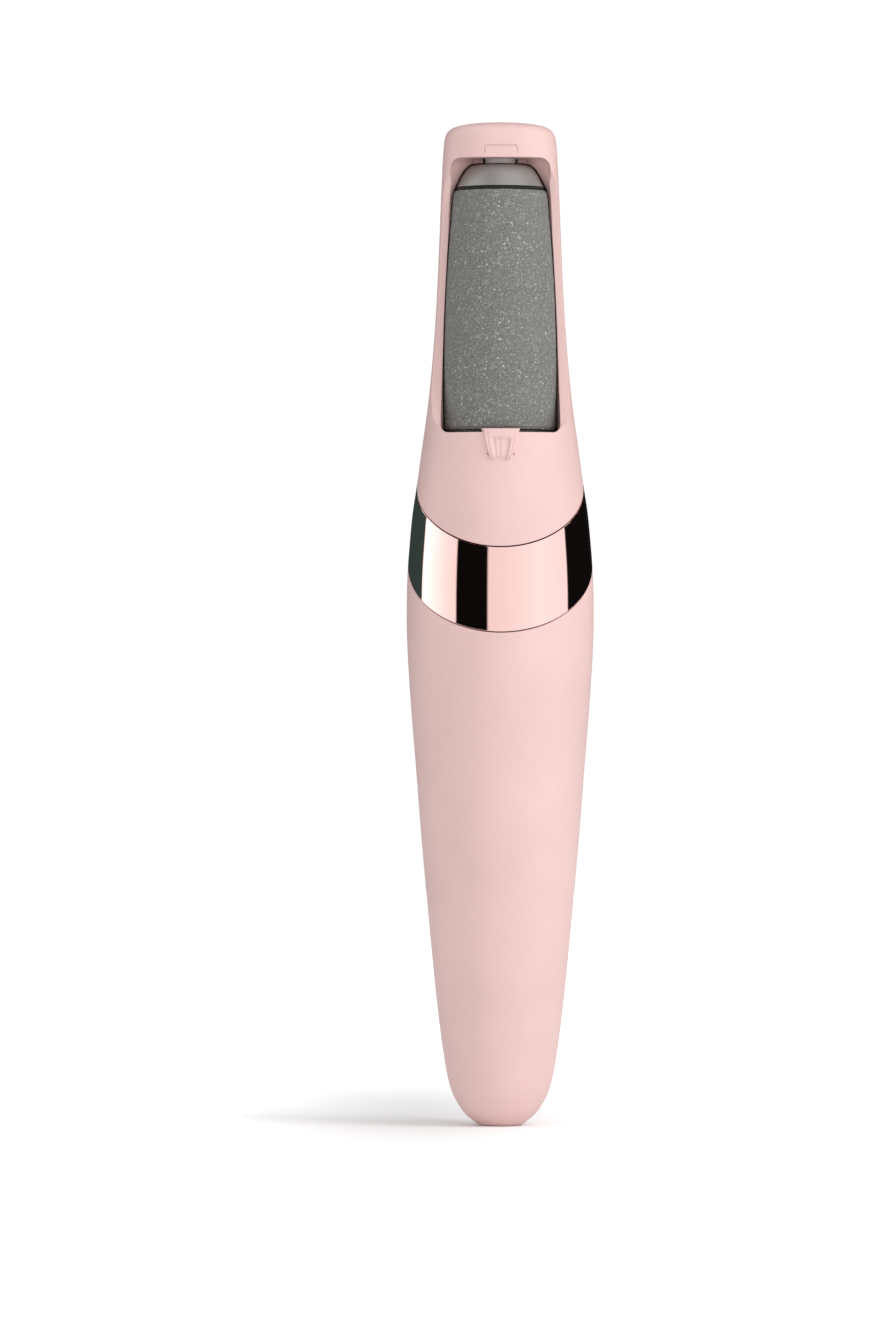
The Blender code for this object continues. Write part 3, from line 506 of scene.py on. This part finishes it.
class Mat:
    """A Principled material with its own node tree."""

    def __init__(self, name):
        self.m = bpy.data.materials.new(name)
        self.m.use_nodes = True
        self.t = self.m.node_tree
        self.p = self.t.nodes["Principled BSDF"]
        self.co = self.n("ShaderNodeTexCoord").outputs["Object"]

    def n(self, kind, **values):
        node = self.t.nodes.new(kind)
        for k, v in values.items():
            if hasattr(node, k):
                setattr(node, k, v)
            else:
                node.inputs[k.replace("_", " ")].default_value = v
        return node

    def link(self, a, b):
        self.t.links.new(a, b)

    def noise(self, per_m, detail=2.0, rough=0.5, distort=0.0, kind=None):
        x = self.n("ShaderNodeTexNoise", Scale=per_m, Detail=detail, Roughness=rough, Distortion=distort)
        if kind:
            x.noise_type = kind
        self.link(self.co, x.inputs["Vector"])
        return x.outputs["Fac"]

    def range(self, value, a, b, lo, hi):
        x = self.n("ShaderNodeMapRange")
        x.inputs["From Min"].default_value, x.inputs["From Max"].default_value = a, b
        x.inputs["To Min"].default_value, x.inputs["To Max"].default_value = lo, hi
        self.link(value, x.inputs["Value"])
        return x.outputs["Result"]

    def math(self, op, a, b=None):
        x = self.n("ShaderNodeMath", operation=op)
        for k, v in enumerate((a, b)):
            if v is None:
                continue
            if isinstance(v, (int, float)):
                x.inputs[k].default_value = v
            else:
                self.link(v, x.inputs[k])
        return x.outputs[0]

    def mix(self, fac, a, b):
        x = self.n("ShaderNodeMix", data_type="RGBA")
        if isinstance(fac, (int, float)):
            x.inputs[0].default_value = fac
        else:
            self.link(fac, x.inputs[0])
        for k, v in ((6, a), (7, b)):
            if isinstance(v, tuple):
                x.inputs[k].default_value = (*v, 1.0)
            else:
                self.link(v, x.inputs[k])
        return x.outputs[2]

    def color(self, v):
        if isinstance(v, tuple):
            self.p.inputs["Base Color"].default_value = (*v, 1.0)
        else:
            self.link(v, self.p.inputs["Base Color"])
        return self

    def rough(self, v):
        self.link(v, self.p.inputs["Roughness"])
        return self

    def bump(self, height, strength, distance_mm, soften_mm=0.0):
        x = self.n("ShaderNodeBump")
        if soften_mm:
            b = self.n("ShaderNodeBevel", samples=6)
            b.inputs["Radius"].default_value = soften_mm * MM
            self.link(b.outputs[0], x.inputs["Normal"])
        x.inputs["Strength"].default_value = strength
        x.inputs["Distance"].default_value = distance_mm * MM
        self.link(height, x.inputs["Height"])
        self.link(x.outputs[0], self.p.inputs["Normal"])
        return x.outputs[0]

    def edge(self, radius_mm):
        """0 on flat faces, towards 1 on convex and concave edges."""
        b = self.n("ShaderNodeBevel", samples=4)
        b.inputs["Radius"].default_value = radius_mm * MM
        g = self.n("ShaderNodeNewGeometry")
        d = self.n("ShaderNodeVectorMath", operation="DOT_PRODUCT")
        self.link(b.outputs[0], d.inputs[0])
        self.link(g.outputs["Normal"], d.inputs[1])
        return self.range(d.outputs["Value"], 1.0, 0.9, 0.0, 1.0)

    def set(self, **values):
        for k, v in values.items():
            self.p.inputs[k.replace("_", " ")].default_value = v
        return self


def moulded(name, rgb, rough=0.4, grain=5200.0, depth=0.004, spread=0.06, coat=0.0, sheen=0.0, wear=0.12, shimmer=0.0, soften=0.0):
    """Moulded plastic: fine spark-eroded grain, slow tone drift, rubbed edges."""
    m = Mat(name)
    cloud = m.noise(55.0, 3.0)
    fine = m.noise(grain, 2.0, 0.6)
    dark = tuple(c * 0.955 for c in rgb)
    light = tuple(min(1.0, c * 1.03 + 0.004) for c in rgb)
    base = m.mix(m.range(cloud, 0.3, 0.7, 0.0, 1.0), dark, light)
    base = m.mix(m.range(fine, 0.35, 0.75, 0.0, 0.10), base, tuple(c * 0.86 for c in rgb))
    if shimmer:
        spark = m.range(m.noise(9000.0, 0.0), 0.66, 0.74, 0.0, shimmer)
        base = m.mix(spark, base, tuple(min(1.0, c * 1.25 + 0.03) for c in rgb))
    e = m.edge(0.16)
    base = m.mix(m.math("MULTIPLY", e, wear), base, tuple(min(1.0, c * 1.2 + 0.03) for c in rgb))
    m.color(base)
    r = m.range(m.noise(380.0, 4.0), 0.3, 0.7, rough - spread / 2, rough + spread)
    m.rough(m.math("SUBTRACT", r, m.math("MULTIPLY", e, 0.08)))
    m.bump(fine, 0.35, depth, soften)
    if coat:
        m.set(Coat_Weight=coat, Coat_Roughness=0.3)
    if sheen:
        m.set(Sheen_Weight=sheen, Sheen_Roughness=0.5)
    return m.m


def plated(name, rgb, rough=0.03):
    """Vacuum plating: mirror with hairline scratches and faint smears."""
    m = Mat(name)
    smear = m.noise(120.0, 4.0)
    map_ = m.n("ShaderNodeMapping")
    map_.inputs["Scale"].default_value = (900.0, 900.0, 14000.0)
    m.link(m.co, map_.inputs["Vector"])
    hair = m.n("ShaderNodeTexNoise", Scale=1.0, Detail=2.0)
    m.link(map_.outputs[0], hair.inputs["Vector"])
    m.color(m.mix(m.range(smear, 0.3, 0.7, 0, 1), tuple(c * 0.975 for c in rgb), rgb))
    m.rough(m.math("ADD", m.range(smear, 0.35, 0.75, rough, rough + 0.025), m.range(hair.outputs["Fac"], 0.64, 0.8, 0.0, 0.04)))
    m.bump(hair.outputs["Fac"], 0.03, 0.0008)
    m.set(Metallic=1.0)
    return m.m


def metal(name, rgb, rough=0.3, lines=(4000.0, 4000.0, 400.0), wear=0.3):
    """Machined or drawn metal: fine tool lines and burnished edges."""
    m = Mat(name)
    map_ = m.n("ShaderNodeMapping")
    map_.inputs["Scale"].default_value = lines
    m.link(m.co, map_.inputs["Vector"])
    hair = m.n("ShaderNodeTexNoise", Scale=1.0, Detail=3.0)
    m.link(map_.outputs[0], hair.inputs["Vector"])
    e = m.edge(0.1)
    base = m.mix(m.range(hair.outputs["Fac"], 0.3, 0.7, 0, 1), tuple(c * 0.85 for c in rgb), rgb)
    base = m.mix(m.math("MULTIPLY", e, wear), base, tuple(min(1, c * 1.25) for c in rgb))
    m.color(base)
    m.rough(m.range(hair.outputs["Fac"], 0.3, 0.7, rough * 0.8, rough * 1.25))
    m.bump(hair.outputs["Fac"], 0.12, 0.004)
    m.set(Metallic=1.0)
    return m.m


def rubber(name, rgb):
    m = Mat(name)
    f = m.noise(2600.0, 3.0)
    m.color(m.mix(f, tuple(c * 0.8 for c in rgb), tuple(c * 1.3 + 0.004 for c in rgb)))
    m.rough(m.range(f, 0.3, 0.7, 0.6, 0.85))
    m.bump(f, 0.3, 0.01)
    m.set(Specular_IOR_Level=0.3)
    return m.m


def grit():
    """Bonded mineral grit: dark matrix, pale grains, curled pale flecks and glints."""
    m = Mat("grit")
    fine = m.noise(5200.0, 3.0, 0.7)
    grain = m.n("ShaderNodeTexVoronoi", Scale=4300.0)
    m.link(m.co, grain.inputs["Vector"])
    patch = m.noise(160.0, 4.0, 0.6)
    base = m.mix(m.range(fine, 0.34, 0.68, 0, 1), srgb(78, 78, 75), srgb(146, 147, 143))
    base = m.mix(m.range(patch, 0.3, 0.7, 0, 0.30), base, srgb(122, 122, 118))
    curl = m.noise(1250.0, 1.0, 0.5, 1.6)
    line = m.math("ABSOLUTE", m.math("SUBTRACT", curl, 0.5))
    line = m.range(line, 0.008, 0.018, 1.0, 0.0)
    gate = m.range(m.noise(1700.0, 1.0), 0.49, 0.55, 0.0, 1.0)
    fleck = m.math("MULTIPLY", line, gate)
    base = m.mix(m.math("MULTIPLY", fleck, 0.85), base, srgb(240, 241, 236))
    dot = m.range(grain.outputs["Distance"], 0.12, 0.24, 1.0, 0.0)
    pick = m.n("ShaderNodeSeparateColor")
    m.link(grain.outputs["Color"], pick.inputs[0])
    glint = m.math("MULTIPLY", dot, m.range(pick.outputs[0], 0.87, 0.90, 0.0, 1.0))
    base = m.mix(m.math("MULTIPLY", glint, 0.95), base, srgb(250, 251, 246))
    m.color(base)
    m.rough(m.math("SUBTRACT", m.range(fine, 0.3, 0.7, 0.62, 0.85), m.math("MULTIPLY", glint, 0.3)))
    height = m.math("ADD", fine, m.math("MULTIPLY", fleck, 0.8))
    m.bump(height, 0.8, 0.05)
    m.set(Specular_IOR_Level=0.35)
    return m.m


def clear_nylon(name, rgb, through=0.35):
    m = Mat(name)
    f = m.noise(700.0, 2.0)
    m.color(m.mix(f, rgb, tuple(c * 0.9 for c in rgb)))
    m.rough(m.range(f, 0.3, 0.7, 0.22, 0.34))
    m.bump(m.noise(3000.0, 2.0), 0.2, 0.004)
    m.set(Transmission_Weight=through, IOR=1.5)
    return m.m


def board(name):
    m = Mat(name)
    weave = m.n("ShaderNodeTexWave", wave_type="BANDS", Scale=300.0, Distortion=2.0, Detail=1.0)
    m.link(m.co, weave.inputs["Vector"])
    track = m.n("ShaderNodeTexBrick", Scale=260.0)
    m.link(m.co, track.inputs["Vector"])
    base = m.mix(m.range(weave.outputs["Fac"], 0, 1, 0.0, 0.4), (0.012, 0.10, 0.05), (0.02, 0.16, 0.08))
    base = m.mix(m.math("MULTIPLY", track.outputs["Fac"], 0.6), base, (0.05, 0.26, 0.12))
    m.color(base)
    m.rough(m.range(weave.outputs["Fac"], 0, 1, 0.3, 0.45))
    m.bump(track.outputs["Fac"], 0.4, 0.03)
    return m.m


PINK_RGB = srgb(230, 195, 191)
pink = moulded("pearl_pink", PINK_RGB, rough=0.42, coat=0.03, shimmer=0.25, soften=0.22)
pink.node_tree.nodes["Principled BSDF"].inputs["Specular IOR Level"].default_value = 0.4
gold = plated("rose_gold", (0.985, 0.66, 0.62), 0.012)
black = moulded("black_nylon", (0.012, 0.012, 0.013), rough=0.42, wear=0.2)
black_rubber = rubber("black_rubber", (0.014, 0.014, 0.014))
steel = metal("bare_steel", (0.56, 0.56, 0.57), 0.32)
brass = metal("turned_brass", (0.72, 0.50, 0.22), 0.28, lines=(500.0, 500.0, 6000.0))
nylon = moulded("natural_nylon", (0.74, 0.72, 0.66), rough=0.5)
ferrite = moulded("ferrite", (0.045, 0.045, 0.05), rough=0.65, grain=2600.0, depth=0.012)
copper = metal("wound_core", (0.62, 0.28, 0.14), 0.4, lines=(300.0, 300.0, 3600.0))
sleeve_blue = moulded("cell_sleeve", (0.05, 0.12, 0.32), rough=0.3, grain=1500.0)
satin = moulded("satin_grey", srgb(152, 148, 145), rough=0.42, grain=7000.0, depth=0.003, spread=0.05, wear=0.1)
satin.node_tree.nodes["Principled BSDF"].inputs["Metallic"].default_value = 0.35

LOOKS = {
    "bare_steel": "output_shaft planet_carrier planet_pin_1 planet_pin_2 planet_pin_3 gear_case_screw_1 gear_case_screw_2 gear_case_cover motor_can motor_shaft motor_screw_1 motor_screw_2 latch_spring battery_contact_positive battery_contact_negative jack_pin",
    "black_nylon": "roller_core drive_coupling gear_case motor_end_cap charge_jack tactile_switch charger_chip",
    "black_rubber": "housing_seal dome_seal_ring shaft_seal motor_wire_black",
    "turned_brass": "output_bushing sun_gear",
    "natural_nylon": "planet_gear_1 planet_gear_2 planet_gear_3 chassis status_led",
    "ferrite": "motor_magnet_1 motor_magnet_2",
    "wound_core": "motor_rotor",
    "cell_sleeve": "battery_cell",
}
for look, names in LOOKS.items():
    for name in names.split():
        NODES[name].data.materials.clear()
        NODES[name].data.materials.append(bpy.data.materials[look])
for name, look in (("circuit_board", board("solder_mask")), ("motor_wire_red", rubber("red_insulation", (0.45, 0.02, 0.02)))):
    NODES[name].data.materials.clear()
    NODES[name].data.materials.append(look)

spring_path = [
    (0.85 * math.cos(a), -12.7 + 0.85 * math.sin(a), 118.02 + 6.16 * a / (10 * math.pi)) for a in np.linspace(0, 10 * math.pi, 181)
]
coil = tube("coil_spring", spring_path, 0.2, 12)
for ob, look, body, node in (
    (handle, pink, "housing", "handle_shell"),
    (band, gold, "housing", "trim_band"),
    (head, pink, "housing", "head_housing"),
    (latch, pink, "latch", "release_latch"),
    (sleeve, grit(), "roller", "abrasive_sleeve"),
    (dome, satin, "roller", "dome_cap"),
    (bush, clear_nylon("clear_grey_nylon", srgb(250, 247, 244), 0.05), "bearing", "roller_bush"),
    (flange, black, "roller", "drive_flange"),
    (button, pink, "button", "power_button"),
    (coil, steel, "housing", "latch_spring"),
    (lens, clear_nylon("light_pipe", (0.9, 0.9, 0.9), 0.6), "housing", "light_window"),
):
    ob.data.materials.clear()
    ob.data.materials.append(look)
    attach(ob, body)
    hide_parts(node)

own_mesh(coil)

# ------------------------------------------------------------------ studio
def plane(name, x, y, z):
    mesh = bpy.data.meshes.new(name)
    mesh.from_pydata([(x[0], y[0], z), (x[1], y[0], z), (x[1], y[1], z), (x[0], y[1], z)], [], [(0, 1, 2, 3)])
    ob = bpy.data.objects.new(name, mesh)
    COLLECTION.objects.link(ob)
    return ob


floor = plane("floor", (-1.2, 1.2), (-0.30, 1.6), 0.0)
paper = bpy.data.materials.new("paper")
paper.use_nodes = True
tree = paper.node_tree
shader = tree.nodes["Principled BSDF"]
shader.inputs["Base Color"].default_value = (0.92, 0.92, 0.92, 1)
shader.inputs["Roughness"].default_value = 0.9
shader.inputs["Specular IOR Level"].default_value = 0.1
shader.inputs["Emission Color"].default_value = (1, 1, 1, 1)
place = tree.nodes.new("ShaderNodeTexCoord")
reach = tree.nodes.new("ShaderNodeVectorMath")
reach.operation = "LENGTH"
# Painted shadow: the camera-only floor emission is low in an oval left of and behind the foot and rises away from it.
# The floor stays darker there, standing in for the foot's cast shadow.
painted_shadow_oval = tree.nodes.new("ShaderNodeMapping")
painted_shadow_oval.inputs["Location"].default_value = (0.25, -0.12, 0)
painted_shadow_oval.inputs["Scale"].default_value = (17.0, 4.2, 1.0)
tree.links.new(place.outputs["Object"], painted_shadow_oval.inputs["Vector"])
tree.links.new(painted_shadow_oval.outputs["Vector"], reach.inputs[0])
glow_outside_painted_shadow = tree.nodes.new("ShaderNodeMapRange")
glow_outside_painted_shadow.interpolation_type = "SMOOTHSTEP"
for key, value in (("From Min", 0.0), ("From Max", 1.25), ("To Min", 0.0), ("To Max", 0.6)):
    glow_outside_painted_shadow.inputs[key].default_value = value
tree.links.new(reach.outputs["Value"], glow_outside_painted_shadow.inputs["Value"])
seen_by = tree.nodes.new("ShaderNodeLightPath")
shown = tree.nodes.new("ShaderNodeMath")
shown.operation = "MULTIPLY"
tree.links.new(glow_outside_painted_shadow.outputs["Result"], shown.inputs[0])
tree.links.new(seen_by.outputs["Is Camera Ray"], shown.inputs[1])
tree.links.new(shown.outputs[0], shader.inputs["Emission Strength"])
floor.data.materials.append(paper)

world = bpy.data.worlds.new("studio")
bpy.context.scene.world = world
world.use_nodes = True
w = world.node_tree
for node in list(w.nodes):
    w.nodes.remove(node)


def wn(kind, **values):
    node = w.nodes.new(kind)
    for k, v in values.items():
        if hasattr(node, k):
            setattr(node, k, v)
        else:
            node.inputs[k.replace("_", " ")].default_value = v
    return node


direction = wn("ShaderNodeTexCoord").outputs["Generated"]
parts = wn("ShaderNodeSeparateXYZ")
w.links.new(direction, parts.inputs[0])
flip = wn("ShaderNodeMath", operation="MULTIPLY")
flip.inputs[1].default_value = -1.0
w.links.new(parts.outputs["Y"], flip.inputs[0])
azimuth = wn("ShaderNodeMath", operation="ARCTAN2")
w.links.new(parts.outputs["X"], azimuth.inputs[0])
w.links.new(flip.outputs[0], azimuth.inputs[1])
turn = wn("ShaderNodeMapRange")
turn.inputs["From Min"].default_value, turn.inputs["From Max"].default_value = -math.pi, math.pi
w.links.new(azimuth.outputs[0], turn.inputs["Value"])


def ramp(stops):
    node = wn("ShaderNodeValToRGB")
    node.color_ramp.interpolation = "LINEAR"
    e = node.color_ramp.elements
    while len(e) > 1:
        e.remove(e[-1])
    for k, (deg, value) in enumerate(stops):
        x = e[0] if k == 0 else e.new((deg + 180) / 360)
        x.position = (deg + 180) / 360
        x.color = (*(value if isinstance(value, tuple) else (value,) * 3), 1)
    w.links.new(turn.outputs[0], node.inputs[0])
    return node.outputs[0]


mirror = ramp([
    (-180, (0.03, 0.05, 0.045)), (-113.5, (0.035, 0.07, 0.065)), (-112, 1.8), (-95, 1.5), (-70, 1.15), (-56.5, 1.06),
    (-55.5, 0.004), (-16, 0.004), (-15, 0.95), (10, 1.0), (50, 1.18), (75, 1.12), (90, 1.08), (91.5, 0.005), (150, 0.005), (180, 0.02),
])
soft = ramp([(-180, 0.62), (-130, 0.66), (-75, 0.72), (-20, 0.74), (30, 0.88), (70, 0.93), (110, 0.76), (180, 0.60)])
rays = wn("ShaderNodeLightPath")
pick = wn("ShaderNodeMix", data_type="RGBA")
w.links.new(rays.outputs["Is Glossy Ray"], pick.inputs[0])
w.links.new(soft, pick.inputs[6])
w.links.new(mirror, pick.inputs[7])
seen = wn("ShaderNodeMix", data_type="RGBA")
w.links.new(rays.outputs["Is Camera Ray"], seen.inputs[0])
w.links.new(pick.outputs[2], seen.inputs[6])
seen.inputs[7].default_value = (1.02, 1.02, 1.02, 1)
back = wn("ShaderNodeBackground")
w.links.new(seen.outputs[2], back.inputs["Color"])
out = wn("ShaderNodeOutputWorld")
w.links.new(back.outputs[0], out.inputs[0])


def lamp(name, where, aim, size, power):
    data = bpy.data.lights.new(name, "AREA")
    data.shape = "RECTANGLE"
    data.size, data.size_y = size
    data.energy = power
    ob = bpy.data.objects.new(name, data)
    ob.location = where
    ob.rotation_euler = (Vector(aim) - Vector(where)).to_track_quat("-Z", "Y").to_euler()
    ob.visible_glossy = False
    COLLECTION.objects.link(ob)
    return ob


lamp("key", (0.70, -0.45, 0.70), (0, 0, 0.05), (0.5, 0.5), 3.3)
lamp("front", (0.30, -1.05, 0.46), (0, 0, 0.08), (0.34, 0.34), 1.9)

# ------------------------------------------------------------------ final update
bpy.context.view_layer.update()
